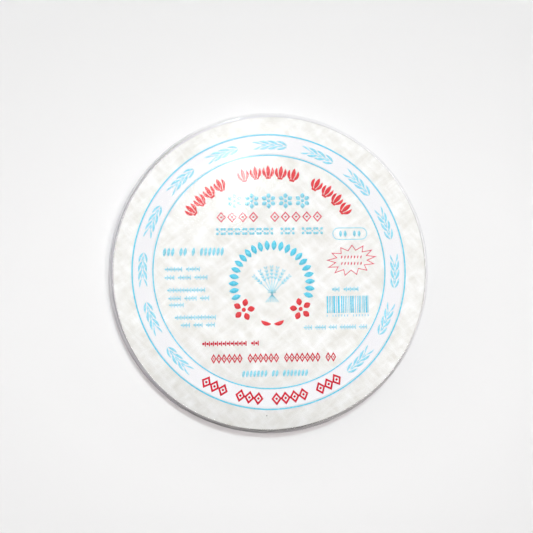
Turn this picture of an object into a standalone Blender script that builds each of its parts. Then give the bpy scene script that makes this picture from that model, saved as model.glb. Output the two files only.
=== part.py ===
"""A sealed pack of round rice paper wrappers: a flat stack of thin sheets shrunk into clear film.

Run it with Blender 4.5, or from Blender's text editor. Units are metres and +Z is up. The pack lies
on its flat base, and the origin is the middle of that base. The film hugs the stack all over, so the
shut pack is one closed solid: a flat base, a wall that leans out from both edges to the film's weld
at half its height, a rounded shoulder, and a top that dips a little where the sheets are not flat.
"""

import math

import bmesh
import bpy

# The stack of sheets.
SHEET_RADIUS = 0.1100
SHEET_COUNT = 36
SHEET_PITCH = 0.00034
STACK_HEIGHT = SHEET_COUNT * SHEET_PITCH

# The film's outline, seen from the side. It is widest at the weld that runs round the pack, and the
# sheets in between have slipped outwards a little.
EDGE_GAP = 0.0006
WELD_REACH = 0.0034
TOP_RADIUS = SHEET_RADIUS + EDGE_GAP
WIDEST_RADIUS = SHEET_RADIUS + WELD_REACH
WIDEST_HEIGHT = 0.0056
BASE_RADIUS = SHEET_RADIUS + 0.0018

# The pack is a little oval: how far its radius goes up and down, and where its long axis points.
OVAL = 0.00045
OVAL_TURN = math.radians(34)

# Fillets where the film turns over an edge.
BASE_FILLET = 0.0010
BULGE_FILLET = 0.0020
SHOULDER_FILLET = 0.0012
FILLET_STEPS = 5

# The wall's unevenness: how far it goes, and (waves round the pack, share of it, phase) of each part.
# Only even numbers of waves are used, so opposite sides match and the outline stays centred.
WALL_WAVE = 0.00016
WALL_RIPPLES = ((4, 1.0, 0.7), (10, 0.6, 2.1), (22, 0.4, 4.0))

# The top's unevenness: how deep it dips, and (metres of x, metres of y, phase) for each wave's radian.
TOP_DIP = 0.00028
TOP_WAVES = ((0.019, 0.034, 0.4), (0.041, -0.022, 1.9), (0.060, 0.016, 3.3))
TOP_FADE_POWER = 8

# Mesh density, and the angle above which an edge is kept sharp.
SEGMENTS = 144
TOP_RINGS = 9
MERGE_DISTANCE = 1e-6
SHARP_ANGLE = math.radians(50)

FILM_COLOUR = (0.90, 0.90, 0.88, 1.0)
FILM_ROUGHNESS = 0.12


def clear_scene():
    """Remove every object that the open file holds."""
    for item in list(bpy.data.objects):
        bpy.data.objects.remove(item, do_unlink=True)


def unit_towards(start, end):
    """The direction from one point to another, as a vector of length one."""
    across = end[0] - start[0]
    up = end[1] - start[1]
    length = math.hypot(across, up)
    return across / length, up / length


def fillet(before, corner, after, radius):
    """Points of the arc of that radius which rounds the corner between two straight runs.

    The arc touches both runs at one distance from the corner, and its centre lies on the line that
    halves the angle between them.
    """
    back = unit_towards(corner, before)
    onward = unit_towards(corner, after)
    half_angle = math.acos(back[0] * onward[0] + back[1] * onward[1]) / 2
    inward = unit_towards((0.0, 0.0), (back[0] + onward[0], back[1] + onward[1]))
    depth = radius / math.sin(half_angle)
    centre = (corner[0] + inward[0] * depth, corner[1] + inward[1] * depth)
    reach = radius / math.tan(half_angle)
    first = unit_towards(centre, (corner[0] + back[0] * reach, corner[1] + back[1] * reach))
    last = unit_towards(centre, (corner[0] + onward[0] * reach, corner[1] + onward[1] * reach))
    start = math.atan2(first[1], first[0])
    sweep = math.remainder(math.atan2(last[1], last[0]) - start, math.tau)
    turns = [start + sweep * step / FILLET_STEPS for step in range(FILLET_STEPS + 1)]
    return [(centre[0] + radius * math.cos(t), centre[1] + radius * math.sin(t)) for t in turns]


def film_outline():
    """The pack's outline as (radius, height) points, from the base's edge up to the top's middle."""
    middle_of_base = (0.0, 0.0)
    base_edge = (BASE_RADIUS, 0.0)
    widest = (WIDEST_RADIUS, WIDEST_HEIGHT)
    top_edge = (TOP_RADIUS, STACK_HEIGHT)
    middle_of_top = (0.0, STACK_HEIGHT)
    outline = fillet(middle_of_base, base_edge, widest, BASE_FILLET)
    outline += fillet(base_edge, widest, top_edge, BULGE_FILLET)
    outline += fillet(widest, top_edge, middle_of_top, SHOULDER_FILLET)
    flat_radius = outline[-1][0]
    outline += [(flat_radius * (1 - ring / TOP_RINGS), STACK_HEIGHT) for ring in range(1, TOP_RINGS)]
    outline.append(middle_of_top)
    return outline


def wall_offset(angle, height):
    """How far the film stands out at this place on the wall, over sheets that lie unevenly.

    The ripples round the pack add up, and they fade to nothing at the base and at the top as half a
    sine wave does.
    """
    ripple = sum(share * math.cos(waves * angle + phase) for waves, share, phase in WALL_RIPPLES)
    return WALL_WAVE * ripple * math.sin(math.pi * height / STACK_HEIGHT)


def top_drop(x, y):
    """How far the top lies below its highest level, where the thin sheets buckle a little.

    Crossing waves add up, and the drop fades to nothing at the shoulder.
    """
    wave = sum(math.sin(x / along_x + y / along_y + phase) for along_x, along_y, phase in TOP_WAVES)
    share = (1 + wave / len(TOP_WAVES)) / 2
    fade = 1 - min(math.hypot(x, y) / SHEET_RADIUS, 1.0) ** TOP_FADE_POWER
    return TOP_DIP * share * fade


def spin_outline(mesh, outline):
    """Turn the outline a full circle about +Z, and close the base with one flat face."""
    points = [mesh.verts.new((radius, 0.0, height)) for radius, height in outline]
    runs = [mesh.edges.new(pair) for pair in zip(points, points[1:])]
    bmesh.ops.spin(
        mesh,
        geom=points + runs,
        cent=(0, 0, 0),
        axis=(0, 0, 1),
        angle=math.tau,
        steps=SEGMENTS,
        use_merge=True,
        use_duplicate=False,
    )
    bmesh.ops.remove_doubles(mesh, verts=mesh.verts[:], dist=MERGE_DISTANCE)
    rim = [edge for edge in mesh.edges if edge.is_boundary]
    bmesh.ops.edgeloop_fill(mesh, edges=rim)


def make_uneven(mesh):
    """Make the pack oval, push the wall in and out, and let the top dip. The base stays flat."""
    for vert in mesh.verts:
        x, y, z = vert.co
        angle = math.atan2(y, x)
        stretch = 1 + OVAL / WIDEST_RADIUS * math.cos(2 * (angle - OVAL_TURN))
        on_the_top = z > STACK_HEIGHT - MERGE_DISTANCE
        if on_the_top:
            vert.co.z = z - top_drop(x, y)
        else:
            stretch += wall_offset(angle, z) / math.hypot(x, y)
        vert.co.x = x * stretch
        vert.co.y = y * stretch


def film_material():
    """Clear shrink film over off-white rice paper, as one glossy pale surface."""
    material = bpy.data.materials.new("clear_film_over_rice_paper")
    material.use_nodes = True
    shader = material.node_tree.nodes["Principled BSDF"]
    shader.inputs["Base Color"].default_value = FILM_COLOUR
    shader.inputs["Roughness"].default_value = FILM_ROUGHNESS
    shader.inputs["Metallic"].default_value = 0.0
    return material


def make_wrapped_stack():
    """The whole shut pack, as one solid."""
    mesh = bmesh.new()
    spin_outline(mesh, film_outline())
    make_uneven(mesh)
    bmesh.ops.recalc_face_normals(mesh, faces=mesh.faces[:])
    data = bpy.data.meshes.new("wrapped_stack")
    mesh.to_mesh(data)
    mesh.free()
    data.shade_smooth()
    data.set_sharp_from_angle(angle=SHARP_ANGLE)
    data.materials.append(film_material())
    pack = bpy.data.objects.new("wrapped_stack", data)
    bpy.context.scene.collection.objects.link(pack)
    return pack


clear_scene()
make_wrapped_stack()
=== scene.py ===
# %% [markdown]
# # A sealed pack of round rice paper wrappers
# The real thing is a flat stack of brittle, see-through sheets of dried rice batter. It is shrunk
# into a clear film that carries a light blue and red print. The CAD model is one plain closed disc,
# which MuJoCo needs for collision. Here that disc is replaced by the sheets, the film around them
# and the print, so that light passes the film, strikes the paper and comes back, as in a real pack.

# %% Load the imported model
import math

import bpy
import numpy as np
from mathutils import Matrix, Vector


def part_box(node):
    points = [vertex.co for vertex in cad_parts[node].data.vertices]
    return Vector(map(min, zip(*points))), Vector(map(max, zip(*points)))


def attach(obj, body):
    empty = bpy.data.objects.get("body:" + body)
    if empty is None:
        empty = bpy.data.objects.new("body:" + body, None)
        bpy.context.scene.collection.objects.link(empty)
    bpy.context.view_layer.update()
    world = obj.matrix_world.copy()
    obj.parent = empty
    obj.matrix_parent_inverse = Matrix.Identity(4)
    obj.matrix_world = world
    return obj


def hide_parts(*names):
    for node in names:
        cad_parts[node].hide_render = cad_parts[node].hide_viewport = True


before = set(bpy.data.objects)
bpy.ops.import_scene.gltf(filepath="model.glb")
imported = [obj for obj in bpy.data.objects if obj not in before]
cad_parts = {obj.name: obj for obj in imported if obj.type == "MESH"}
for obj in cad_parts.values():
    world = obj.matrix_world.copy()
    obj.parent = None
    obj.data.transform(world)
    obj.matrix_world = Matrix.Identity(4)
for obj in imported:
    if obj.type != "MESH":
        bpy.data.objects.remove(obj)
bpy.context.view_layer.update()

MM = 0.001
pack_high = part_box("wrapped_stack")[1]
PACK_RADIUS = (pack_high.x + pack_high.y) / 2 / MM
PACK_TOP = pack_high.z / MM
SHEET_RADIUS = 110.3
OVAL = 0.45
OVAL_TURN = math.radians(34)


def oval(angle, amount=OVAL):
    """The pack's slightly oval outline, as a factor for a radius: a wave that goes twice round."""
    return 1 + amount / PACK_RADIUS * np.cos(2 * (angle - OVAL_TURN))


print(f"the pack is {2 * PACK_RADIUS:.1f} mm across and {PACK_TOP:.2f} mm high")

# %% [markdown]
# ## Putting arrays into a mesh
# Every piece below is worked out with numpy, in millimetres, as whole arrays of points. One way to
# make it a mesh is to add vertices one by one with bmesh, which is slow for a hundred thousand of
# them. `from_pydata` takes all of them at once, so one small function does that for every piece. It
# also measures the piece: the sum of the signed volumes under its faces is above zero only if the
# faces of a closed piece point outwards.

# %% Make a piece from arrays
def enclosed_volume(points, faces):
    """Signed volume in cubic millimetres: a sixth of the triple product, added over fan triangles."""
    total = 0.0
    for corner in range(1, faces.shape[1] - 1):
        a, b, c = points[faces[:, 0]], points[faces[:, corner]], points[faces[:, corner + 1]]
        total += np.einsum("ij,ij->", a, np.cross(b, c)) / 6
    return total


def make_piece(name, points, face_arrays, material):
    """A mesh object at the origin from points in millimetres and arrays of quads or triangles."""
    mesh = bpy.data.meshes.new(name)
    faces = [face for array in face_arrays for face in array.tolist()]
    mesh.from_pydata((points * MM).tolist(), [], faces)
    mesh.polygons.foreach_set("use_smooth", np.ones(len(faces), bool))
    mesh.materials.append(material)
    piece = bpy.data.objects.new(name, mesh)
    bpy.context.scene.collection.objects.link(piece)
    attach(piece, "root")
    volume = sum(enclosed_volume(points, array) for array in face_arrays)
    print(f"{name}: {len(points)} points, {len(faces)} faces, {volume / 1000:.2f} cm3")
    return piece


def joined(shapes):
    """Several shapes as one: their points end to end, their faces shifted to match."""
    starts = np.cumsum([0] + [len(points) for points, _ in shapes[:-1]])
    points = np.concatenate([points for points, _ in shapes])
    faces = np.concatenate([faces + start for (_, faces), start in zip(shapes, starts)])
    return points, faces


# %% [markdown]
# ## Materials by name
# Colours are picked as sRGB hex values, the way a paint program shows them. Blender's shaders add up
# light, so they want linear values, and one function converts them. A second one adds a node: it sets
# the node's own properties and fills its sockets with numbers, colours or other nodes' outputs. Many
# patterns here are straight fades, often towards one side, so two short functions write those.

# %% Colour and node helpers
def linear(hex_colour):
    """sRGB to linear: small values are divided by 12.92, others follow ((c + 0.055) / 1.055) ** 2.4."""
    channels = np.array([int(hex_colour[i:i + 2], 16) for i in (1, 3, 5)]) / 255
    curve = ((channels + 0.055) / 1.055) ** 2.4
    return (*np.where(channels <= 0.04045, channels / 12.92, curve).tolist(), 1.0)


def add_node(tree, kind, inputs=None, **settings):
    """Adds one shader node with its settings, socket values and links. Where a node is given for a
    socket, its first output is linked."""
    made = tree.nodes.new("ShaderNode" + kind)
    for name, value in settings.items():
        setattr(made, name, value)
    for socket, value in (inputs or {}).items():
        if isinstance(value, bpy.types.Node):
            value = value.outputs[0]
        if isinstance(value, bpy.types.NodeSocket):
            tree.links.new(value, made.inputs[socket])
        else:
            made.inputs[socket].default_value = value
    return made


def fade(start, end, low=0.0, high=1.0):
    """Sockets for a Map Range: low at the start value, high at the end value, straight between."""
    return {"From Min": start, "From Max": end, "To Min": low, "To Max": high}


def share_towards(tree, way, side, sockets):
    """How far a vector reaches to one side, as their dot product says, faded between two values."""
    reach = add_node(tree, "VectorMath", {0: way, 1: side}, operation="DOT_PRODUCT")
    return add_node(tree, "MapRange", {"Value": reach.outputs["Value"], **sockets})


def new_material(name):
    """A material and its empty node tree."""
    material = bpy.data.materials.new(name)
    material.use_nodes = True
    material.node_tree.nodes.clear()
    return material, material.node_tree


def set_ramp(node, low, high):
    """Two stops of a colour ramp, each a position and a hex colour."""
    for stop, (position, colour) in zip(node.color_ramp.elements, (low, high)):
        stop.position = position
        stop.color = linear(colour)


# %% [markdown]
# ## Rice paper
# Rice paper is a steamed batter of rice and tapioca flour, dried on a woven bamboo mat. It comes out
# thin, hard and see-through, with a dull gloss. In a stack each sheet touches the next one only in
# patches. Where it touches, light goes deeper and the stack looks greyer and warmer. Where air lies
# between, light turns back at once and the stack looks whiter. Every sheet could let light through,
# but that many clear layers render slowly, and where they touch would be left to chance. So the paper
# is opaque and its colour carries the patches. They follow the two directions of the mat: two noises,
# each stretched along one direction, are mixed. The colour also carries painted shade: it is scaled
# down towards one edge of the pack and a little up towards the other.

# %% Rice paper material
MAT_DIRECTIONS = (math.radians(38), math.radians(-47))
CLOUD = (0.017, 0.0062)
FLECK = (0.0105, 0.0027)
FLECK_STRENGTH = 1.1
TOUCHING_RANGE = (1.22, 2.18)
# Painted shade: the paper's colour is scaled down towards the edge opposite this way, and a little up
# towards it.
LIGHTER_TOWARDS = (0.2, 0.98, 0.0)
PAINTED_SHADE_FADE = fade(-0.105, -0.045, 0.87, 1.03)


def crossed_noise(tree, position, size, operation):
    """Two noises with long patches, one along each mat direction, put together. The size is a
    patch's length and width in metres."""
    length, width = size
    both = []
    for turn in MAT_DIRECTIONS:
        placed = add_node(
            tree, "Mapping",
            {"Vector": position, "Rotation": (0, 0, turn), "Scale": (length, width, width)},
            vector_type="TEXTURE",
        )
        noise = add_node(
            tree, "TexNoise",
            {"Vector": placed, "Scale": 1.0, "Detail": 1.5, "Roughness": 0.5},
        )
        both.append(noise)
    return add_node(tree, "Math", dict(enumerate(both)), operation=operation)


def rice_paper():
    """Dried rice batter: IOR of starch about 1.53, and a dull gloss from its uneven dried skin."""
    material, tree = new_material("dried_rice_batter")
    position = add_node(tree, "TexCoord").outputs["Object"]
    clouds = crossed_noise(tree, position, CLOUD, "ADD")
    flecks = crossed_noise(tree, position, FLECK, "MAXIMUM")
    touching = add_node(
        tree, "Math", {0: flecks, 1: FLECK_STRENGTH, 2: clouds}, operation="MULTIPLY_ADD",
    )
    spread = add_node(tree, "MapRange", {"Value": touching, **fade(*TOUCHING_RANGE)})
    patches = add_node(tree, "ValToRGB", {"Fac": spread})
    set_ramp(patches, (0.0, "#DEDDD8"), (1.0, "#F3F4F4"))
    # painted shade: darker towards one edge of the pack, a little lighter towards the other
    shade = share_towards(tree, position, LIGHTER_TOWARDS, PAINTED_SHADE_FADE)
    shaded = add_node(tree, "VectorMath", {0: patches, "Scale": shade}, operation="SCALE")
    bump = add_node(tree, "Bump", {"Height": flecks, "Strength": 0.3, "Distance": 0.0001})
    paper = add_node(
        tree, "BsdfPrincipled",
        {
            "Base Color": shaded,
            "Roughness": 0.55,
            "IOR": 1.53,
            "Specular IOR Level": 0.25,
            "Normal": bump,
        },
    )
    add_node(tree, "OutputMaterial", {"Surface": paper})
    return material


# %% Sheet edges material
# The edges' colour is painted shade: nearly charcoal towards this side, pale away from it.
SHADED_SIDE = (-0.24, -0.97, 0.0)
SHADED_TO_LIT = (0.90, 0.20)


def sheet_edges():
    """The same paper seen edge on. Light is trapped between the sheets, so they look grey. Their colour
    also carries painted shade: nearly charcoal on the shaded side, paler towards the lit side."""
    material, tree = new_material("rice_batter_edges")
    position = add_node(tree, "TexCoord").outputs["Object"]
    noise = add_node(tree, "TexNoise", {"Vector": position, "Scale": 260.0, "Detail": 3})
    way = add_node(tree, "VectorMath", {0: position}, operation="NORMALIZE")
    lit_share = share_towards(tree, way, SHADED_SIDE, fade(*SHADED_TO_LIT))
    uneven = add_node(tree, "Math", {0: noise, 1: 0.4, 2: lit_share}, operation="MULTIPLY_ADD")
    ramp = add_node(tree, "ValToRGB", {"Fac": uneven})
    set_ramp(ramp, (0.2, "#3C3A40"), (1.0, "#E8E6EC"))
    edge = add_node(
        tree, "BsdfPrincipled",
        {"Base Color": ramp, "Roughness": 0.6, "IOR": 1.53, "Specular IOR Level": 0.1},
    )
    add_node(tree, "OutputMaterial", {"Surface": edge})
    return material


RICE_PAPER = rice_paper()
SHEET_EDGES = sheet_edges()
print(f"paper patches are {CLOUD[0] / MM:.0f} mm and {FLECK[0] / MM:.1f} mm long")

# %% [markdown]
# ## Clear shrink film
# The film is polyolefin, about 20 thousandths of a millimetre thick. It is too thin to bend what is
# seen through it, so a glass shader would be wrong. A Transparent shader lets the light straight
# through, and a Glossy one on top gives the reflection. Fresnel sets how much of each: a few percent
# looking straight down, and much more where the film turns away at the wall. At the wall the film had
# to shrink most, and it lies in tiny folds that run round the pack. They are too fine to model, so a
# milky Diffuse share stands for them, in level lines and mostly on one side. On the shaded side the
# reflection is dimmed from the shoulder on, which is painted shade on the shine.

# %% Film material
FILM_IOR = 1.49
FILM_ROUGHNESS = 0.095
SHOULDER_RADII = (0.1096, 0.1101)
WALL_RADII = (0.1109, 0.1117)
WALL_PAINTED_DIMMING = 0.8
GATHERED_SIDE = (-1.0, 0.0, 0.0)
LEVEL_LINES = (25, 25, 1400)


def out_from_middle(tree, position):
    """A place's distance from the pack's upright middle line, and the way out to it."""
    flat = add_node(tree, "VectorMath", {0: position, 1: (1, 1, 0)}, operation="MULTIPLY")
    distance = add_node(tree, "VectorMath", {0: flat}, operation="LENGTH")
    way = add_node(tree, "VectorMath", {0: flat}, operation="NORMALIZE")
    return distance.outputs["Value"], way


def gathered_share(tree, position):
    """How milky the film is: clear over the sheets, and past their edge in fine lines that run round
    the pack, strongest towards the gathered side."""
    distance, way = out_from_middle(tree, position)
    past_edge = add_node(tree, "MapRange", {"Value": distance, **fade(*WALL_RADII)})
    fine = add_node(tree, "Mapping", {"Vector": position, "Scale": LEVEL_LINES})
    lines = add_node(tree, "TexNoise", {"Vector": fine, "Scale": 1.0, "Detail": 2})
    folds = add_node(tree, "MapRange", {"Value": lines, **fade(0.3, 0.7, 0.25, 0.85)})
    side_share = share_towards(tree, way, GATHERED_SIDE, fade(0.45, 0.8, 0.04))
    here = add_node(tree, "Math", {0: past_edge, 1: side_share}, operation="MULTIPLY")
    return add_node(tree, "Math", {0: here, 1: folds}, operation="MULTIPLY")


def film_shine(tree, position):
    """The reflection's strength: full over the sheets, and dimmed past the shoulder on the shaded side,
    as painted shade.
    """
    distance, way = out_from_middle(tree, position)
    turned_over = add_node(tree, "MapRange", {"Value": distance, **fade(*SHOULDER_RADII)})
    # painted shade on the shine: the reflection is dimmed towards the shaded side
    painted_dimming = share_towards(tree, way, SHADED_SIDE, fade(0.1, 0.7, 0.0, WALL_PAINTED_DIMMING))
    lost = add_node(tree, "Math", {0: turned_over, 1: painted_dimming}, operation="MULTIPLY")
    return add_node(tree, "Math", {0: 1.0, 1: lost}, operation="SUBTRACT")


def shrink_film():
    """Polyolefin film, drawn smooth by the shrinking: IOR 1.49 from outside, and one over that for
    light that leaves the pack."""
    material, tree = new_material("clear_shrink_film")
    clear = add_node(tree, "BsdfTransparent", {"Color": linear("#FFFFFF")})
    position = add_node(tree, "TexCoord").outputs["Object"]
    ripple = add_node(tree, "TexNoise", {"Vector": position, "Scale": 130.0, "Detail": 3})
    bump = add_node(tree, "Bump", {"Height": ripple, "Strength": 0.12, "Distance": 0.0002})
    gloss = add_node(
        tree, "BsdfGlossy",
        {"Color": film_shine(tree, position), "Roughness": FILM_ROUGHNESS, "Normal": bump},
        distribution="BECKMANN",
    )
    inside = add_node(tree, "NewGeometry").outputs["Backfacing"]
    either_side = add_node(
        tree, "Math", {0: inside, 1: 1 / FILM_IOR - FILM_IOR, 2: FILM_IOR},
        operation="MULTIPLY_ADD",
    )
    fresnel = add_node(tree, "Fresnel", {"IOR": either_side, "Normal": bump})
    smooth = add_node(tree, "MixShader", {0: fresnel, 1: clear, 2: gloss})
    milky = add_node(tree, "BsdfDiffuse", {"Color": linear("#EEEDF1")})
    film = add_node(tree, "MixShader", {0: gathered_share(tree, position), 1: smooth, 2: milky})
    add_node(tree, "OutputMaterial", {"Surface": film})
    return material


SHRINK_FILM = shrink_film()
head_on = ((FILM_IOR - 1) / (FILM_IOR + 1)) ** 2
print(f"seen straight on, the film reflects {head_on:.1%} of the light")

# %% [markdown]
# ## Printing inks
# The film is printed with thick, slightly uneven inks: light blue rings and motifs, red motifs, and a
# band of thin white. One image laid on the film could carry the whole print, but it would blur when
# seen close. So each motif is a thin body of its own, whose edge stays crisp, and one small function
# makes an ink of each colour. The paler inks are for motifs with less ink on them.

# %% Ink materials
def printing_ink(name, thick, thin):
    """Flexographic ink: the colour varies a little, because the soft plate lays it down unevenly."""
    material, tree = new_material(name)
    position = add_node(tree, "TexCoord").outputs["Object"]
    noise = add_node(tree, "TexNoise", {"Vector": position, "Scale": 700.0, "Detail": 2})
    ramp = add_node(tree, "ValToRGB", {"Fac": noise})
    set_ramp(ramp, (0.35, thick), (0.7, thin))
    ink = add_node(
        tree, "BsdfPrincipled",
        {"Base Color": ramp, "Roughness": 0.55, "Specular IOR Level": 0.15},
    )
    add_node(tree, "OutputMaterial", {"Surface": ink})
    return material


BLUE_INK = printing_ink("light_blue_film_ink", "#58CDEB", "#82DDF1")
PALE_BLUE_INK = printing_ink("pale_blue_film_ink", "#88D8EC", "#ACE6F4")
RED_INK = printing_ink("red_film_ink", "#CC1430", "#D8263F")
BRIGHT_RED_INK = printing_ink("bright_red_film_ink", "#E43E46", "#EC5558")
PALE_RED_INK = printing_ink("pale_red_film_ink", "#E0566A", "#EA7C8A")
WHITE_COVER = 0.9


def white_ink():
    """One pass of white that covers nine tenths, so the paper shows through faintly."""
    material, tree = new_material("white_film_ink")
    white = add_node(
        tree, "BsdfPrincipled",
        {"Base Color": linear("#F4F4F7"), "Roughness": 0.5, "Specular IOR Level": 0.2},
    )
    clear = add_node(tree, "BsdfTransparent")
    cover = add_node(tree, "MixShader", {0: WHITE_COVER, 1: clear, 2: white})
    add_node(tree, "OutputMaterial", {"Surface": cover})
    return material


WHITE_INK = white_ink()

# %% [markdown]
# ## How high the film lies
# Shrinking pulls the film tight over sheets that are not quite flat, so its top is a sheet of low,
# broad swells. A cloth simulation could press it down. A formula for its height is simpler, and the
# rest can follow it: the paper's face and the print both lie just under it.

# %% Film level over the sheets
FLAT_RADIUS = 110.2
SHOULDER_LEVEL = PACK_TOP - 0.30
RIM_FADE = 26.0
# A wave is its height, the millimetres of x and of y for each radian, and its phase.
WAVES = ((0.05, 19.0, 34.0, 0.4), (0.05, 41.0, -22.0, 1.9), (0.04, 60.0, 16.0, 3.3))
# A swell is its height, its place in x and y, and how wide it is along each.
SWELLS = ((0.30, -22.0, 40.0, 17.0, 28.0), (0.12, 45.0, -50.0, 30.0, 24.0))


def smooth_step(value):
    """0 below 0, 1 above 1, and 3 v**2 - 2 v**3 between."""
    value = np.clip(value, 0, 1)
    return value * value * (3 - 2 * value)


def film_level(x, y):
    """Height of the film in millimetres: the shoulder's level, crossing sine waves and bell-shaped
    swells, which all fade out towards the edge of the flat part."""
    rise = np.zeros(np.shape(x))
    for height, along_x, along_y, phase in WAVES:
        rise = rise + height * np.sin(x / along_x + y / along_y + phase)
    for height, at_x, at_y, wide, long in SWELLS:
        rise = rise + height * np.exp(-(((x - at_x) / wide) ** 2) - ((y - at_y) / long) ** 2)
    inside = smooth_step((FLAT_RADIUS * oval(np.arctan2(y, x)) - np.hypot(x, y)) / RIM_FADE)
    return SHOULDER_LEVEL + rise * inside


print(f"over the middle of the stack the film lies {float(film_level(0.0, 0.0)):.2f} mm high")


# %% [markdown]
# ## The film around the pack
# The film is one closed skin. Its outline, seen from the side, runs from the middle of the top over
# the shoulder, down the rounded wall with the thin bead of the weld at half its height, and back under
# the pack. A cylinder could be sculpted into that. Carrying a known outline round is exact and easy to
# change: the top is a function of radius and angle, and the side is that outline, with fine upright
# ripples and a few pleats where the film had to gather.

# %% Outline of the film's side
def smooth_curve(corners, per_run):
    """A Catmull-Rom curve: each run between two points is the cubic that also fits their neighbours."""
    corners = np.asarray(corners, float)
    padded = np.concatenate([corners[:1], corners, corners[-1:]])
    t = np.linspace(0, 1, per_run, endpoint=False)[None, :, None]
    a, b, c, d = (padded[i:len(padded) - 3 + i, None, :] for i in range(4))
    cubic = 2 * b + (c - a) * t + (2 * a - 5 * b + 4 * c - d) * t**2 + (3 * b - a - 3 * c + d) * t**3
    return np.concatenate([(cubic / 2).reshape(-1, corners.shape[1]), corners[-1:]])


BASE_LEVEL = 0.05
BEAD_HEIGHT = 5.6
BEAD_RADIUS = PACK_RADIUS - 0.22
SIDE_CORNERS = (
    (FLAT_RADIUS, SHOULDER_LEVEL),
    (110.70, SHOULDER_LEVEL - 0.06),
    (111.10, SHOULDER_LEVEL - 0.30),
    (111.60, SHOULDER_LEVEL - 0.80),
    (112.10, SHOULDER_LEVEL - 1.60),
    (112.45, SHOULDER_LEVEL - 2.90),
    (112.70, BEAD_HEIGHT + 1.30),
    (112.80, BEAD_HEIGHT + 0.45),
    (112.98, BEAD_HEIGHT + 0.14),
    (BEAD_RADIUS, BEAD_HEIGHT),
    (112.98, BEAD_HEIGHT - 0.14),
    (112.75, BEAD_HEIGHT - 0.45),
    (112.50, BEAD_HEIGHT - 1.30),
    (112.20, 2.4),
    (111.85, 1.0),
    (111.45, 0.30),
    (110.90, 0.07),
    (FLAT_RADIUS, BASE_LEVEL),
)
side = smooth_curve(SIDE_CORNERS, 4)
print(f"the film's side has {len(side)} points, and its widest radius is {side[:, 0].max():.2f} mm")

# %% Ripples and pleats of the wall
# A pleat is its place in degrees, the millimetres it stands out, and the degrees it leans over.
PLEATS = (
    (165.6, 0.30, 0.5),
    (144.0, 0.26, -0.6),
    (323.8, 0.24, 0.4),
    (78.0, 0.22, 0.8),
    (231.0, 0.24, -0.4),
)
PLEAT_WIDTH = 0.34
FILM_STEPS = 480


def film_angles():
    """Even steps round the pack, with extra ones at each pleat so that its fold is drawn finely."""
    even = np.linspace(0, 360, FILM_STEPS, endpoint=False)
    near = np.linspace(-1.4, 1.4, 15)
    extra = np.concatenate([at + near for at, *_ in PLEATS]) % 360
    return np.radians(np.unique(np.round(np.concatenate([even, extra]), 3)))


def wall_relief(angle, height):
    """Millimetres that the film stands out: upright ripples of three lengths, and one bell-shaped
    ridge for each pleat, which leans over as it rises. All of it fades at the base and the top."""
    ripple = 0.05 * np.cos(31 * angle + 0.6 * np.sin(3 * angle))
    ripple = ripple + 0.035 * np.cos(74 * angle + 1.9 + np.sin(5 * angle))
    ripple = ripple + 0.04 * np.cos(9 * angle + 0.4)
    for at, depth, lean in PLEATS:
        away = np.degrees(np.angle(np.exp(1j * (angle - math.radians(at)))))
        away = away - lean * (height / PACK_TOP - 0.5)
        ripple = ripple + depth * np.exp(-((away / PLEAT_WIDTH) ** 2))
    return ripple * np.sin(math.pi * np.clip(height / PACK_TOP, 0, 1)) ** 0.6


# %% Close the rings into one skin
def skin(rings, start, end):
    """A closed skin from rings of shape (rings, steps, 3): quads between neighbouring rings, and a
    fan of triangles from the first ring to one end point and from the last ring to the other."""
    count, steps = rings.shape[:2]
    here = np.arange(count * steps).reshape(count, steps)
    beyond = np.roll(here, -1, axis=1)
    quads = np.stack([here[:-1], here[1:], beyond[1:], beyond[:-1]], -1).reshape(-1, 4)
    first = np.full(steps, count * steps)
    last = first + 1
    start_fan = np.stack([first, here[0], beyond[0]], -1)
    end_fan = np.stack([last, beyond[-1], here[-1]], -1)
    points = np.concatenate([rings.reshape(-1, 3), [start, end]])
    return points, [quads, np.concatenate([start_fan, end_fan])]


TOP_RINGS = 64
BASE_RINGS = 12


def film_rings():
    """Rings from the top's middle, over the side, to the base's middle."""
    angle = film_angles()[None, :]
    share = (np.arange(1, TOP_RINGS)[:, None] / TOP_RINGS) ** 0.8
    reach = FLAT_RADIUS * share * oval(angle)
    top_x, top_y = reach * np.cos(angle), reach * np.sin(angle)
    top = np.stack([top_x, top_y, film_level(top_x, top_y)], -1)
    radius, height = side[:, :1], side[:, 1:]
    radius = radius * oval(angle) + wall_relief(angle, height)
    height = np.broadcast_to(height, radius.shape)
    around = np.stack([radius * np.cos(angle), radius * np.sin(angle), height], -1)
    inward = FLAT_RADIUS * (1 - np.arange(1, BASE_RINGS)[:, None] / BASE_RINGS) * oval(angle)
    level = np.full((BASE_RINGS - 1, angle.shape[1]), BASE_LEVEL)
    base = np.stack([inward * np.cos(angle), inward * np.sin(angle), level], -1)
    return np.concatenate([top, around, base])


film_middle = (0, 0, float(film_level(0.0, 0.0)))
film_points, film_faces = skin(film_rings(), film_middle, (0, 0, BASE_LEVEL))
film = make_piece("clear_film", film_points, film_faces, SHRINK_FILM)
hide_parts("wrapped_stack")

# %% [markdown]
# ## The top sheet
# The top sheet is the one whose face shows. A polar grid would crowd its points at the middle and
# starve its rim, so a square grid is pressed into a disc instead: each point moves in along its own
# row and column, and the square's outline becomes the circle. The mat leaves a shallow woven relief.

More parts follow.
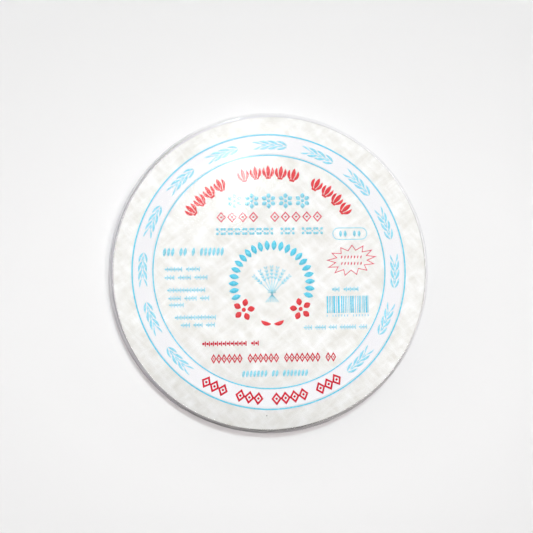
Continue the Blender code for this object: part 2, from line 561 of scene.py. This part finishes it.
# %% Square grid pressed into a disc
def round_grid(count):
    """Unit disc from a square grid u, v: x = u sqrt(1 - v v / 2) and y = v sqrt(1 - u u / 2)."""
    u, v = np.meshgrid(np.linspace(-1, 1, count), np.linspace(-1, 1, count))
    x = u * np.sqrt(1 - v * v / 2)
    y = v * np.sqrt(1 - u * u / 2)
    here = np.arange(count * count).reshape(count, count)
    quads = np.stack([here[:-1, :-1], here[:-1, 1:], here[1:, 1:], here[1:, :-1]], -1)
    rim = np.concatenate([here[0, :-1], here[:-1, -1], here[-1, :0:-1], here[:0:-1, 0]])
    return x.ravel(), y.ravel(), quads.reshape(-1, 4), rim


RIM_WAVES = np.arange(2, 26)


def rim_waver(angle, seed):
    """How the edge of a poured sheet strays from a circle, as a share of its radius: waves of 2 to
    25 turns, each smaller as it is finer, with seeded sizes and phases."""
    draw = np.random.default_rng(seed)
    phase = draw.uniform(0, math.tau, len(RIM_WAVES))
    size = 0.0011 * draw.uniform(0.3, 1, len(RIM_WAVES)) / RIM_WAVES
    return (size * np.cos(angle[..., None] * RIM_WAVES + phase)).sum(-1)


MAT_PITCH = 3.6
MAT_RELIEF = 0.022


def mat_relief(x, y):
    """Woven mat print: two crossing sets of slats, where the one on top swaps from cell to cell."""
    turn = math.radians(45)
    along = (x * math.cos(turn) + y * math.sin(turn)) * math.pi / MAT_PITCH
    across = (y * math.cos(turn) - x * math.sin(turn)) * math.pi / MAT_PITCH
    return MAT_RELIEF * np.sin(along) * np.sin(across)


# %% Make the top sheet
SHEET_THICKNESS = 0.20
PAPER_GAP = 0.20
RIM_DROOP = 0.12
DROOP_START = 109.4
DROOP_WIDTH = 1.2
UNDERCUT = 0.9985
# The sheets dried a little more oval than the pack, lie off its middle, and have four faint corners.
SHEET_SHIFT = (-0.12, -0.50)
SHEET_OVAL = 0.65
CORNER_PULL = 0.2
CORNER_TURN = math.radians(-30)
TOP_GRID = 270
TOP_SEED = 3


def closed_sheet(x, y, upper, quads, rim):
    """A closed body: the fine upper face, a rim wall down to a lower loop, and a fan under it."""
    face = np.stack([x, y, upper], -1)
    lower = upper[rim] - SHEET_THICKNESS
    loop = np.stack([x[rim] * UNDERCUT, y[rim] * UNDERCUT, lower], -1)
    middle = [[0.0, 0.0, lower.mean()]]
    count, steps = len(face), len(rim)
    below = count + np.arange(steps)
    below_next = np.roll(below, -1)
    wall = np.stack([rim, below, below_next, np.roll(rim, -1)], -1)
    fan = np.stack([np.full(steps, count + steps), below_next, below], -1)
    return np.concatenate([face, loop, middle]), [quads, wall, fan]


def sheet_outline(x, y, seed):
    """Presses a unit disc's grid out to a sheet's own edge: round, a little oval, with four shallow
    corners where the mat's weave pulled it, and the fine waver of a poured edge."""
    angle = np.arctan2(y, x)
    corners = CORNER_PULL * np.cos(4 * (angle - CORNER_TURN))
    reach = (SHEET_RADIUS + corners) * (oval(angle, SHEET_OVAL) + rim_waver(angle, seed))
    return x * reach + SHEET_SHIFT[0], y * reach + SHEET_SHIFT[1]


grid_x, grid_y, grid_quads, grid_rim = round_grid(TOP_GRID)
top_x, top_y = sheet_outline(grid_x, grid_y, TOP_SEED)
droop = RIM_DROOP * smooth_step((np.hypot(top_x, top_y) - DROOP_START) / DROOP_WIDTH)
upper = film_level(top_x, top_y) - PAPER_GAP - droop + mat_relief(top_x, top_y)
top_points, top_faces = closed_sheet(top_x, top_y, upper, grid_quads, grid_rim)
make_piece("top_sheet", top_points, top_faces, RICE_PAPER)

# %% [markdown]
# ## The bottom sheet
# From below, the same kind of sheet shows through the film. It could be a copy of the top one, but two
# sheets are never alike, so it has a seed of its own. It is made in the same way and turned half round
# about the X axis, which puts its fine face down and keeps its faces pointing outwards.

# %% Make the bottom sheet
BOTTOM_GRID = 200
BOTTOM_LEVEL = 0.20
BOTTOM_SEED = 8
low_x, low_y, low_quads, low_rim = round_grid(BOTTOM_GRID)
low_x, low_y = sheet_outline(low_x, low_y, BOTTOM_SEED)
low_points, low_faces = closed_sheet(low_x, low_y, mat_relief(low_x, low_y), low_quads, low_rim)
low_points = low_points * (1, -1, -1) + (0, 0, BOTTOM_LEVEL)
make_piece("bottom_sheet", low_points, low_faces, RICE_PAPER)

# %% [markdown]
# ## The sheets underneath
# Of the other sheets only the edges show, through the wall of the film. One drum with lines on it
# would look too even, so each is a closed thin disc with its own slightly wavy outline, lying a little
# off centre. All of them are made in one go, as an array of sheets by rings by steps.

# %% Stack of sheets
LOWER_SHEETS = 34
STACK_STEPS = 240
LOWEST_SHEET = 0.80
HIGHEST_SHEET = 11.15
STACK_SHEET = 0.23
STACK_SEED = 11
FIRST_EDGE_SEED = 100
# Across its rounded rim: how far in each ring lies, and its height as a share of the thickness.
RIM_INSET = np.array([8.0, 0.30, 0.05, 0.0, 0.05, 0.30, 8.0])
RIM_RISE = np.array([0.5, 0.5, 0.30, 0.0, -0.30, -0.5, -0.5])


def stacked_sheets():
    """Each sheet's rings run from its upper face over its rounded rim to its lower face."""
    draw = np.random.default_rng(STACK_SEED)
    angle = np.linspace(0, math.tau, STACK_STEPS, endpoint=False)
    level = np.linspace(LOWEST_SHEET, HIGHEST_SHEET, LOWER_SHEETS)
    low_share = 1 - level / HIGHEST_SHEET
    bulge = 1 - ((level - BEAD_HEIGHT) / 6.0) ** 2
    reach = 109.8 + 1.1 * bulge + draw.uniform(-0.22, 0.14, LOWER_SHEETS)
    slip = draw.normal(0, 0.10, (2, LOWER_SHEETS))
    seeds = range(FIRST_EDGE_SEED, FIRST_EDGE_SEED + LOWER_SHEETS)
    waver = np.stack([rim_waver(angle, seed) for seed in seeds])
    outline = reach[:, None] * (oval(angle) + waver)
    rise = RIM_RISE * STACK_SHEET
    radius = outline[:, None, :] - RIM_INSET[None, :, None]
    x = radius * np.cos(angle) + slip[0][:, None, None]
    y = radius * np.sin(angle) + slip[1][:, None, None]
    warp = 0.05 * np.cos(5 * angle + 1.0) + 0.04 * np.cos(8 * angle + 2.2)
    z = level[:, None, None] + rise[None, :, None] + warp[None, None, :] * low_share[:, None, None]
    return np.stack([x, y, np.broadcast_to(z, x.shape)], -1), level


sheet_rings, sheet_levels = stacked_sheets()
half_sheet = STACK_SHEET / 2
bodies = [
    skin(rings, (0, 0, level + half_sheet), (0, 0, level - half_sheet))
    for rings, level in zip(sheet_rings, sheet_levels)
]
quads, fans = (joined([(points, faces[kind]) for points, faces in bodies]) for kind in (0, 1))
make_piece("stacked_sheets", quads[0], [quads[1], fans[1]], SHEET_EDGES)

# %% [markdown]
# ## Strokes of ink
# A print is made of flat strokes. Curves could draw them, but each would need a Shrinkwrap to follow
# the film. So one function makes a ribbon, a path whose points are pushed half a width to either side,
# and bars, leaves, rings and stars are ribbons. They are drawn flat and then laid under the film.

# %% Ribbon
def finely(track, step):
    """The same track with each run cut into equal parts no longer than the step."""
    runs = np.diff(track, axis=0)
    parts = np.maximum(1, np.ceil(np.hypot(runs[:, 0], runs[:, 1]) / step)).astype(int)
    run = np.repeat(np.arange(len(parts)), parts)
    within = (np.arange(parts.sum()) - np.repeat(np.cumsum(parts) - parts, parts)) / parts[run]
    return np.concatenate([track[run] + runs[run] * within[:, None], track[-1:]])


STROKE_STEP = 2.0


def ribbon(path, width, closed=False):
    """A flat stroke: each point moves to both sides along the mitre, the sum of the two normals
    divided by one plus their dot product, so that the stroke keeps its width round a corner."""
    track = np.column_stack([path, np.broadcast_to(width, len(path))])
    if closed:
        track = finely(np.concatenate([track, track[:1]]), STROKE_STEP)[:-1]
    else:
        track = finely(track, STROKE_STEP)
    path, half = track[:, :2], track[:, 2:] / 2
    onward = np.roll(path, -1, axis=0) - path
    onward = onward / np.linalg.norm(onward, axis=1, keepdims=True)
    before = np.roll(onward, 1, axis=0)
    if not closed:
        onward[-1] = before[-1]
        before[0] = onward[0]
    normals = [np.stack([-way[:, 1], way[:, 0]], -1) for way in (before, onward)]
    mitre = (normals[0] + normals[1]) / (1 + (normals[0] * normals[1]).sum(1, keepdims=True))
    points = np.concatenate([path + mitre * half, path - mitre * half])
    here = np.arange(len(path) if closed else len(path) - 1)
    beyond = (here + 1) % len(path)
    faces = np.stack([here + len(path), beyond + len(path), beyond, here], -1)
    return points, faces


# %% Leaf, bar and ring strokes
BAR_POINTS = 10


def leaf(start, end, width, bow=0.0, points=9):
    """A leaf or grain: its spine bows to one side as half a sine wave, and so does its width."""
    start, end = np.asarray(start, float), np.asarray(end, float)
    t = np.linspace(0, 1, points)[:, None]
    across = np.array([start[1] - end[1], end[0] - start[0]]) / np.linalg.norm(end - start)
    spine = start + (end - start) * t + bow * np.sin(math.pi * t) * across
    swell = 0.08 + 0.92 * np.sin(math.pi * t[:, 0]) ** 0.8
    return ribbon(spine, width * swell)


def bar(x, y, length, height):
    """A bar with round ends, centred on x, y: two half circles moved apart. A dot is a short bar."""
    turn = np.linspace(0, math.pi, BAR_POINTS)
    along = -np.cos(turn) * height / 2 + np.copysign((length - height) / 2, turn - math.pi / 2)
    width = np.maximum(np.sin(turn), 0.04) * height
    return ribbon(np.stack([x + along, np.full(BAR_POINTS, y)], -1), width)


def ring(radius, width):
    """A closed circle stroke about the middle."""
    turn = np.linspace(0, math.tau, max(16, int(math.tau * radius / 1.5)), endpoint=False)
    return ribbon(np.stack([radius * np.cos(turn), radius * np.sin(turn)], -1), width, True)


# %% Place and bend shapes
def placed(shape, x=0.0, y=0.0, turn=0.0):
    """A shape turned and moved."""
    points, faces = shape
    turned = points @ np.array([[math.cos(turn), math.sin(turn)], [-math.sin(turn), math.cos(turn)]])
    return turned + (x, y), faces


def bend_round(shape, radius, angle, outward=1):
    """Bends a shape's baseline into an arc about the pack's middle, at a radius and an angle. Its
    upper side points outwards and x runs clockwise, or with outward -1 both are the other way."""
    points, faces = shape
    at = angle - outward * points[:, 0] / radius
    out = radius + outward * points[:, 1]
    return np.stack([out * np.cos(at), out * np.sin(at)], -1), faces


def row(unit, words, span):
    """A unit repeated along a span, in groups of the given numbers with one empty place between."""
    count = sum(words) + len(words) - 1
    gaps = np.cumsum(np.array(words) + 1)[:-1] - 1
    places = (np.setdiff1d(np.arange(count), gaps) + 0.5) * span / count - span / 2
    return joined([placed(unit, place) for place in places])


# %% Lay ink under the film
# The print is not quite centred on the pack, as happens when a printed film is shrunk.
INK_DEPTH = 0.05
PRINT_SHIFT = (-0.83, 0.44)
INK_THICKNESS = 0.02


def lay_ink(name, shapes, ink, depth=INK_DEPTH):
    """Gives each flat point the film's height, less the depth, and a thin body under it."""
    points, faces = joined(shapes)
    points = points + PRINT_SHIFT
    height = film_level(points[:, 0], points[:, 1]) - depth
    piece = make_piece(name, np.column_stack([points, height]), [faces], ink)
    body = piece.modifiers.new("ink body", "SOLIDIFY")
    body.thickness = INK_THICKNESS * MM
    body.offset = -1


# %% [markdown]
# ## White band, blue rings and leaf sprigs
# Two blue rings edge a white band. Leaf sprigs sit on the band at even steps, all pointing clockwise,
# and the lowest places are left for the red row. A sprig could be drawn once round the arc by hand.
# Drawing it straight and bending it keeps it simple, and the same function bends every row. The white
# lies deeper than the other inks, so they show on it.

# %% White band
WHITE_DEPTH = 0.09
OUTER_RING = 96.4
INNER_RING = 81.9
BAND_MIDDLE = (OUTER_RING + INNER_RING) / 2
NOON = math.pi / 2


def flat_band(inner, outer, rows, steps):
    """A flat annulus as a grid of rows by steps, closed round."""
    radius = np.linspace(inner, outer, rows)[:, None]
    turn = np.linspace(0, math.tau, steps, endpoint=False)[None, :]
    points = np.stack([radius * np.cos(turn), radius * np.sin(turn)], -1).reshape(-1, 2)
    here = np.arange(rows * steps).reshape(rows, steps)
    beyond = np.roll(here, -1, axis=1)
    faces = np.stack([here[:-1], here[1:], beyond[1:], beyond[:-1]], -1).reshape(-1, 4)
    return points, faces


lay_ink("white_band", [flat_band(INNER_RING, OUTER_RING, 9, 360)], WHITE_INK, depth=WHITE_DEPTH)
lay_ink("blue_rings", [ring(OUTER_RING, 0.98), ring(INNER_RING, 0.84)], BLUE_INK)


# %% Leaf sprigs
def sprig():
    """Three pairs of broad leaves that sweep back from the tip, a thin pair inside each, and a tail."""
    strokes = []
    for side_sign in (1, -1):
        for at, long, wide in ((12.1, 7.0, 1.6), (6.2, 7.6, 1.75), (0.2, 7.4, 1.75)):
            start, end = (at, 0.25 * side_sign), (at - long, 2.75 * side_sign)
            strokes.append(leaf(start, end, wide, -0.55 * side_sign))
            strokes.append(leaf((at - 2.6, 0.2 * side_sign), (at - 6.4, 0.75 * side_sign), 0.75))
        strokes.append(leaf((-6.0, 0.7 * side_sign), (-12.1, 2.6 * side_sign), 1.1, -0.4 * side_sign))
    return joined(strokes)


SLOT_STEP = math.radians(22.38)
SPRIG_LEAD = 1.5 / BAND_MIDDLE
slot_angles = [NOON - slot * SLOT_STEP - SPRIG_LEAD for slot in range(-6, 7)]
lay_ink("leaf_sprigs", [bend_round(sprig(), BAND_MIDDLE, at) for at in slot_angles], PALE_BLUE_INK)


# %% [markdown]
# ## Red rows along the arcs
# A row of lotus flowers stands under the top of the inner ring, and a row of nested lozenges fills the
# gap at the bottom of the band. Both are old border patterns. They are bent round like the sprigs, and
# the lower row faces the other way, so that it stands upright too.

# %% Lotus row
def lotus(width, height):
    """A lotus flower: a broad middle petal, a petal on each side that opens outwards, and a foot."""
    foot = -height * 0.40
    strokes = [
        leaf((0, foot), (0, height / 2), width * 0.46),
        bar(0, -height * 0.42, width * 0.62, height * 0.15),
    ]
    for side_sign in (1, -1):
        tip = (side_sign * width * 0.46, height * 0.34)
        strokes.append(leaf((side_sign * width * 0.16, foot), tip, width * 0.35, -1.1 * side_sign))
    return joined(strokes)


TITLE_RADIUS = 70.0
TITLE_SPAN = math.radians(110) * TITLE_RADIUS
title = row(lotus(6.3, 9.6), (4, 5, 4), TITLE_SPAN)
lay_ink("red_lotus_row", [bend_round(title, TITLE_RADIUS, NOON)], BRIGHT_RED_INK)


# %% Lozenge row
def lozenge(width, height, stroke, core=0.26):
    """A diamond outline with a smaller solid diamond inside."""
    outline = [(width / 2, 0), (0, height / 2), (-width / 2, 0), (0, -height / 2)]
    heart = leaf((-width * 0.17, 0), (width * 0.17, 0), height * core, points=5)
    return joined([ribbon(outline, stroke, True), heart])


BASE_SPAN = math.radians(66) * BAND_MIDDLE
base_row = row(lozenge(5.6, 7.2, 1.3), (3, 3, 4, 3), BASE_SPAN)
lay_ink("red_lozenge_row", [bend_round(base_row, BAND_MIDDLE, -NOON, -1)], RED_INK)

# %% [markdown]
# ## The label's straight rows
# Under the arc come five large blossoms, a thin red row of lozenges and a row of blue quatrefoils.
# Smaller rows lie at the sides and below. An Array modifier repeats a motif evenly, but it can't leave
# gaps between groups, so one short function does both.

# %% Blossoms and beads
def blossom(petals, radius, width, heart):
    """Leaves set round a dot, from a third of the radius out to the whole of it."""
    turns = np.arange(petals) * math.tau / petals + NOON
    ways = np.stack([np.cos(turns), np.sin(turns)], -1)
    strokes = [leaf(way * radius * 0.32, way * radius, width) for way in ways]
    return joined(strokes + [bar(0, 0, heart, heart)])


def bead_and_reel(width, height):
    """A round bead beside an upright reel, an old moulding pattern."""
    reel = placed(bar(0, 0, height, width * 0.27), width * 0.36, 0, NOON)
    return joined([bar(-width * 0.12, 0, width * 0.62, width * 0.62), reel])


def grain(width, height, slant=0.0):
    """One upright rice grain."""
    return leaf((-slant, -height / 2), (slant, height / 2), width)


large_blossoms = row(blossom(6, 5.4, 3.0, 2.4), (5,), 60.0)
lay_ink("blue_blossom_row", [placed(large_blossoms, 0, 49.7)], PALE_BLUE_INK)

# %% Upper rows
thin_lozenges = row(lozenge(5.6, 6.3, 0.8, 0.22), (4, 5), 75.6)
lay_ink("thin_red_row", [placed(thin_lozenges, 0.4, 38.4)], PALE_RED_INK)
quatrefoils = row(placed(blossom(4, 3.3, 1.9, 1.2), turn=math.pi / 4), (8, 2, 3), 75.6)
grains = row(grain(2.3, 6.0, 0.5), (3, 2, 1, 6), 43.2)
lower_grains = row(grain(2.0, 4.8, 0.5), (7, 2, 7), 46.9)
blue_rows = [
    placed(quatrefoils, 0.4, 28.4),
    placed(grains, -53.5, 14.4),
    placed(lower_grains, 2.5, -71.3),
]
lay_ink("blue_rows", blue_rows, PALE_BLUE_INK)

# %% Small rows
# A small row is its place in x and y, its span, and the number of motifs in each group.
SMALL_ROWS = (
    (-61.5, 2.3, 24.6, (5, 4)),
    (-59.0, -3.5, 30.0, (3, 4, 4)),
    (-59.0, -12.3, 26.6, (11,)),
    (-57.3, -18.0, 28.6, (4, 4, 3)),
    (-66.0, -22.6, 10.3, (5,)),
    (-52.9, -31.4, 28.9, (12,)),
    (-51.2, -36.7, 24.0, (3, 3, 3)),
    (53.2, -13.1, 19.0, (2, 4)),
    (45.7, -39.7, 45.0, (3, 4, 3, 6, 3)),
)
small_rows = []
for x, y, span, words in SMALL_ROWS:
    pitch = span / (sum(words) + len(words) - 1)
    small_rows.append(placed(row(bead_and_reel(pitch, 3.3), words, span), x, y))
lay_ink("small_blue_rows", small_rows, PALE_BLUE_INK)

# %% Lower red rows
red_beads = row(bead_and_reel(2.8, 3.6), (11, 2), 39.9)
red_lozenges = row(lozenge(3.0, 5.4, 0.75, 0.2), (6, 6, 7, 2), 88.0)
red_rows = [placed(red_beads, -28.6, -50.0), placed(red_lozenges, 1.7, -60.5)]
lay_ink("lower_red_rows", red_rows, RED_INK)

# %% [markdown]
# ## Small signs on the right
# A rounded frame, a star frame with two rows in it, and a block of upright bars with ticks below. The
# frames could be bevelled curves. As ribbons they are the same kind of stroke as the rest.

# %% Frames and bars
def rounded_frame(width, height, stroke):
    """A stroke along two half circles joined by straight runs."""
    turn = np.linspace(-NOON, NOON, 9)
    end = np.stack([np.cos(turn) * height / 2 + (width - height) / 2, np.sin(turn) * height / 2], -1)
    return ribbon(np.concatenate([end, -end]), stroke, True)


def star_frame(points, wide, high, depth, stroke):
    """A closed zigzag between an outer ellipse and an inner one, with the given number of points."""
    turn = np.arange(2 * points) * math.pi / points
    reach = np.where(np.arange(2 * points) % 2, depth, 1.0)
    track = np.stack([np.cos(turn) * reach * wide / 2, np.sin(turn) * reach * high / 2], -1)
    return ribbon(track, stroke, True)


PILL = (57.3, 26.1)
STAR = (58.1, 7.3)
FRAME_STROKE = 0.55
frame_row = row(grain(2.2, 4.4), (2, 2), 16.5)
pill = [placed(rounded_frame(24.3, 8.1, FRAME_STROKE), *PILL), placed(frame_row, *PILL)]
lay_ink("pill_frame", pill, PALE_BLUE_INK)
star = placed(star_frame(13, 34.6, 21.0, 0.66, FRAME_STROKE), *STAR, math.radians(8))
star_rows = [placed(row(grain(0.9, 2.4, 0.3), (7,), 16.0), STAR[0], y) for y in (9.6, 5.0)]
lay_ink("star_frame", [star, *star_rows], PALE_RED_INK)


# %% Bar block
def bar_block(width, height, seed):
    """Upright bars of seeded widths side by side, which spell nothing."""
    draw = np.random.default_rng(seed)
    steps = draw.choice([0.45, 0.7, 1.0, 1.3], 60, p=[0.4, 0.3, 0.2, 0.1])
    edges = np.cumsum(steps)
    edges = edges[edges < width]
    strokes = []
    for left, right in zip(edges[0:-1:2], edges[1::2]):
        x = (left + right) / 2 - width / 2
        strokes.append(ribbon([(x, -height / 2), (x, height / 2)], right - left))
    return joined(strokes)


BLOCK_WIDTH = 31.3
BLOCK_X = 54.6
bars = bar_block(BLOCK_WIDTH, 12.0, 5)
ticks = row(placed(bar(0, 0, 1.6, 0.5), turn=NOON), (1, 6, 6), BLOCK_WIDTH)
lay_ink("bar_block", [placed(bars, BLOCK_X, -23.8), placed(ticks, BLOCK_X, -31.6)], BLUE_INK)

# %% [markdown]
# ## Medallion
# The middle of the label holds an arc of blue petals, two red blossoms and a pair of leaves, round a
# pale sheaf of rice. Each shape is drawn upright and set on the ring by its angle, so the arc's petals
# are one shape and a list of angles.

# %% Medallion
MEDALLION = (1.3, -8.5)
RING_RADIUS = 27.0
PETALS = 22
BLOSSOMS = ((-138, 7.8), (-42, 7.8))


def round_medallion(shape, degrees):
    """Sets a shape on the medallion's ring, with its upper side outwards."""
    turn = math.radians(degrees)
    x = MEDALLION[0] + RING_RADIUS * math.cos(turn)
    return placed(shape, x, MEDALLION[1] + RING_RADIUS * math.sin(turn), turn - NOON)


ARC = (200, -18)
petal = leaf((0, -3.5), (0, 3.5), 3.7)
petals = [round_medallion(petal, degrees) for degrees in np.linspace(*ARC, PETALS)]
lay_ink("medallion_petals", petals, BLUE_INK)
red_blossoms = [
    round_medallion(blossom(5, size, size * 0.52, size * 0.38), degrees)
    for degrees, size in BLOSSOMS
]
leaf_pair = joined([leaf((sign, 1.2), (8.0 * sign, -1.2), 2.8, sign) for sign in (1.0, -1.0)])
red_signs = [*red_blossoms, round_medallion(leaf_pair, -90)]
lay_ink("medallion_blossoms", red_signs, BRIGHT_RED_INK)


def sheaf():
    """Seven stalks that pass a tie and fan out, with grains set in pairs along each upper part."""
    strokes = []
    for index in np.arange(-3, 4):
        foot = np.array([-index * 1.5, -13.0])
        top = np.array([index * 4.0, 11.0 - index * index * 0.7])
        t = np.linspace(0, 1, 13)[:, None]
        waist = np.array([index * 0.5, -5.0])
        stalk = (1 - t) ** 2 * foot + 2 * t * (1 - t) * waist + t**2 * top
        strokes.append(ribbon(stalk, 0.42))
        way = stalk[-1] - stalk[-3]
        way = way / np.linalg.norm(way)
        across = np.array([-way[1], way[0]])
        for step in range(4):
            root = stalk[-1 - step]
            for side_sign in (1, -1):
                tip = root + way * 1.9 + across * side_sign * 1.1
                strokes.append(leaf(root + across * side_sign * 0.25, tip, 0.75, points=5))
    strokes.append(ribbon([(-3.0, -4.6), (3.0, -4.6)], 0.5))
    strokes.append(ribbon([(-3.0, -6.0), (3.0, -6.0)], 0.5))
    return joined(strokes)


lay_ink("medallion_sheaf", [placed(sheaf(), *MEDALLION)], PALE_BLUE_INK)

# %% Vent hole
VENT_HOLE = (-3.9, -100.7)
# The hole is a dark dot of painted shade, made with the ink function though it is no ink.
PAINTED_HOLE_SHADE = printing_ink("painted_shade_in_the_hole", "#4A4744", "#5A5753")
lay_ink("vent_hole", [placed(bar(0, 0, 0.75, 0.75), *VENT_HOLE)], PAINTED_HOLE_SHADE)

# %% [markdown]
# ## Stage, light and camera
# The pack lies on a plain white table with a painted pool of light: its colour falls off a little away
# from the pack. A studio could be built from lit panels. The sky does the same without any mesh: a
# ring-shaped softbox overhead that the film mirrors as a broad sheen, a weak glow beyond it, and some
# light from the sides for the wall.
# A key lamp, high and far behind, throws the soft shadow, and two small lamps make the glare on the
# film. The camera looks down at a slight tilt through a long lens, so the disc stays nearly round.

# %% Floor
# Centre and squash of the table's painted pool of light.
LIGHT_POOL_MIDDLE = (-0.01, 0.03, 0.0)
LIGHT_POOL_SQUASH = (0.7, 1.0, 0.0)


def pale_table():
    """Matt white laminate, with a painted pool of light: it darkens with the distance from a point near
    the pack.
    """
    material, tree = new_material("white_laminate")
    position = add_node(tree, "TexCoord").outputs["Object"]
    moved = add_node(tree, "VectorMath", {0: position, 1: LIGHT_POOL_MIDDLE})
    wide = add_node(tree, "VectorMath", {0: moved, 1: LIGHT_POOL_SQUASH}, operation="MULTIPLY")
    away = add_node(tree, "VectorMath", {0: wide}, operation="LENGTH")
    ramp = add_node(tree, "ValToRGB", {"Fac": away.outputs["Value"]})
    set_ramp(ramp, (0.13, "#E9E9E9"), (0.24, "#E0E0E0"))
    laminate = add_node(
        tree, "BsdfPrincipled",
        {"Base Color": ramp, "Roughness": 0.7, "Specular IOR Level": 0.2},
    )
    add_node(tree, "OutputMaterial", {"Surface": laminate})
    return material


FLOOR_HALF = 3.0
floor_mesh = bpy.data.meshes.new("floor")
floor_corners = [(x * FLOOR_HALF, y * FLOOR_HALF, 0) for x, y in ((-1, -1), (1, -1), (1, 1), (-1, 1))]
floor_mesh.from_pydata(floor_corners, [], [(0, 1, 2, 3)])
floor_mesh.materials.append(pale_table())
floor = bpy.data.objects.new("floor", floor_mesh)
bpy.context.scene.collection.objects.link(floor)
print(f"the table is {2 * FLOOR_HALF:.0f} m wide")

# %% An empty sky
world = bpy.data.worlds.new("studio")
bpy.context.scene.world = world
world.use_nodes = True
sky = world.node_tree
sky.nodes.clear()
direction = add_node(sky, "TexCoord").outputs["Generated"]


# %% Softbox and side light
def sky_share(towards, *levels):
    """A fade over the sky by how nearly its directions point one way."""
    return share_towards(sky, direction, Vector(towards).normalized(), fade(*levels))


def cosine(degrees):
    """The cosine of an angle in degrees."""
    return math.cos(math.radians(degrees))


def sine(degrees):
    """The sine of an angle in degrees."""
    return math.sin(math.radians(degrees))


OVERHEAD = (0.107, 0.061, 1.0)
FAR_SIDE = (0.0, 1.0, 0.0)
SOFTBOX_LEVEL = 12.6
GLOW_LEVEL = 0.4
all_round = sky_share((0.17, 0.98, 0.0), -1.0, 1.0, 0.03, 0.22)
from_left = sky_share((-0.95, 0.30, 0.0), 0.2, 1.0, 0.0, 0.55)
side_light = add_node(sky, "Math", {0: all_round, 1: from_left})
outer_edge = sky_share(OVERHEAD, cosine(21), cosine(19))
ring_light = sky_share(OVERHEAD, cosine(15), cosine(12), SOFTBOX_LEVEL, 0.0)
near_part = sky_share(FAR_SIDE, sine(14), sine(18), 1.0, 0.0)
open_ring = add_node(sky, "Math", {0: ring_light, 1: near_part}, operation="MULTIPLY")
far_glow = sky_share(FAR_SIDE, sine(3), sine(8), 0.0, GLOW_LEVEL)
softbox = add_node(sky, "Math", {0: open_ring, 1: far_glow}, operation="MAXIMUM")
radiance = add_node(sky, "Math", {0: outer_edge, 1: softbox, 2: side_light}, operation="MULTIPLY_ADD")
backdrop = add_node(sky, "Background", {"Color": linear("#FFF8F8"), "Strength": radiance})
add_node(sky, "OutputWorld", {"Surface": backdrop})
print(f"the sky is made of {len(sky.nodes)} nodes")


# %% Lamps
def soft_light(name, place, size, power, colour=(1.0, 1.0, 1.0)):
    """A rectangular area light that faces the pack."""
    data = bpy.data.lights.new(name, "AREA")
    data.shape = "RECTANGLE"
    data.size, data.size_y = size
    data.energy = power
    data.color = colour
    lamp = bpy.data.objects.new(name, data)
    bpy.context.scene.collection.objects.link(lamp)
    lamp.location = place
    lamp.rotation_euler = (-Vector(place)).to_track_quat("-Z", "Y").to_euler()
    print(f"{name} is {Vector(place).length:.2f} m from the pack")


soft_light("key", (0.12, 2.20, 4.8), (0.26, 0.26), 97.0, (0.86, 1.0, 1.0))
soft_light("glare_lamp", (0.160, 0.287, 1.6), (0.11, 0.065), 0.06)
soft_light("glare_strip", (0.125, 0.208, 1.6), (0.08, 0.12), 0.46)

# %% Camera
CAMERA_DISTANCE = 1.2
CAMERA_TILT = math.radians(7.2)
CAMERA_SIDE = math.radians(202)
AIM = Vector((-0.00313, 0.00399, 0.012))
ROLL = math.radians(1.0)
HALF_VIEW = math.radians(17.7 / 2)
HALF_SENSOR = 18
back = Vector((
    math.sin(CAMERA_TILT) * math.cos(CAMERA_SIDE),
    math.sin(CAMERA_TILT) * math.sin(CAMERA_SIDE),
    math.cos(CAMERA_TILT),
))
up_hint = Vector((math.sin(ROLL), math.cos(ROLL), 0))
right = up_hint.cross(back).normalized()
up = back.cross(right)
camera_data = bpy.data.cameras.new("camera")
camera_data.lens = HALF_SENSOR / math.tan(HALF_VIEW)
camera = bpy.data.objects.new("camera", camera_data)
bpy.context.scene.collection.objects.link(camera)
place = AIM + back * CAMERA_DISTANCE
camera.matrix_world = Matrix((
    (right.x, up.x, back.x, place.x),
    (right.y, up.y, back.y, place.y),
    (right.z, up.z, back.z, place.z),
    (0, 0, 0, 1),
))
bpy.context.scene.camera = camera
bpy.context.scene.view_settings.view_transform = "Standard"
print(f"the lens is {camera_data.lens:.0f} mm")
